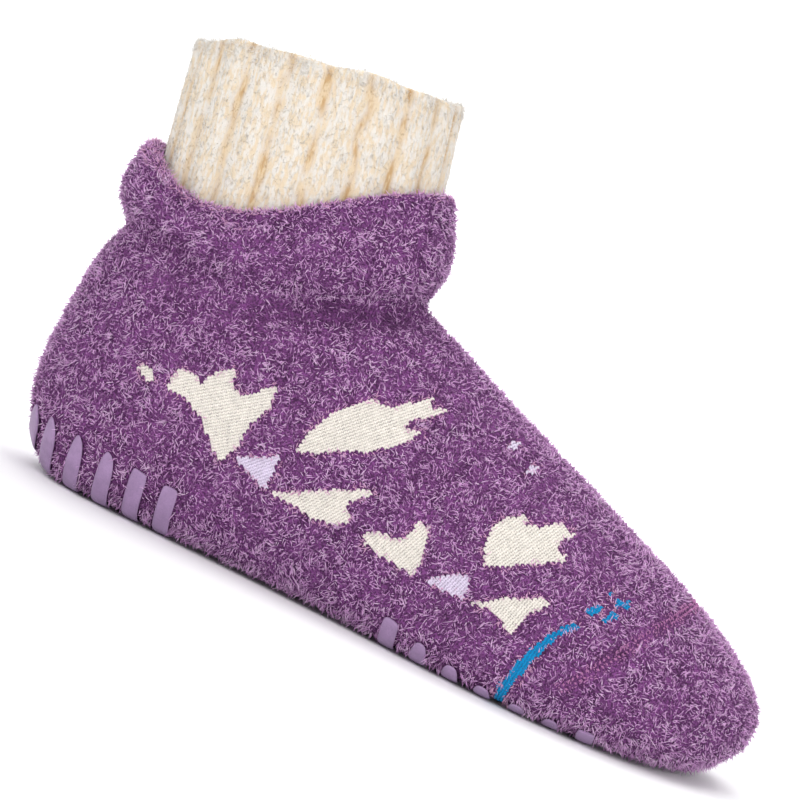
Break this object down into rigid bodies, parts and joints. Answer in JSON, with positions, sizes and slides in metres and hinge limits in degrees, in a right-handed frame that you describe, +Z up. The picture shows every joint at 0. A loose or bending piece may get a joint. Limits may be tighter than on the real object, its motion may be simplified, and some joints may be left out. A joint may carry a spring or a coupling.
{
  "type": "slipper sock",
  "caption": "Plush knitted ankle slipper sock with a ribbed cuff, a slouched collar roll and rubbery grip bars under heel and ball.",
  "frame": {"origin": "on the floor, under the middle of the sock's box", "axes": "+X from heel to toe, +Z up, +Y to the inner side of a right foot"},
  "size_m": [0.2398, 0.096, 0.1521],
  "materials": {
    "plush": "deep feathery pile in mauve purple, matte",
    "ribbing": "brushed cream ribbing, matte",
    "grip": "smooth silicone in greyed lilac, satin"
  },
  "bodies": {
    "root": {"knit_body": "plush", "rib_cuff": "ribbing", "heel_grip_1": "grip", "heel_grip_2": "grip", "heel_grip_3": "grip", "heel_grip_4": "grip", "heel_grip_5": "grip", "heel_grip_6": "grip", "ball_grip_1": "grip", "ball_grip_2": "grip", "ball_grip_3": "grip", "ball_grip_4": "grip", "ball_grip_5": "grip", "ball_grip_6": "grip", "ball_grip_7": "grip"}
  },
  "joints": []
}
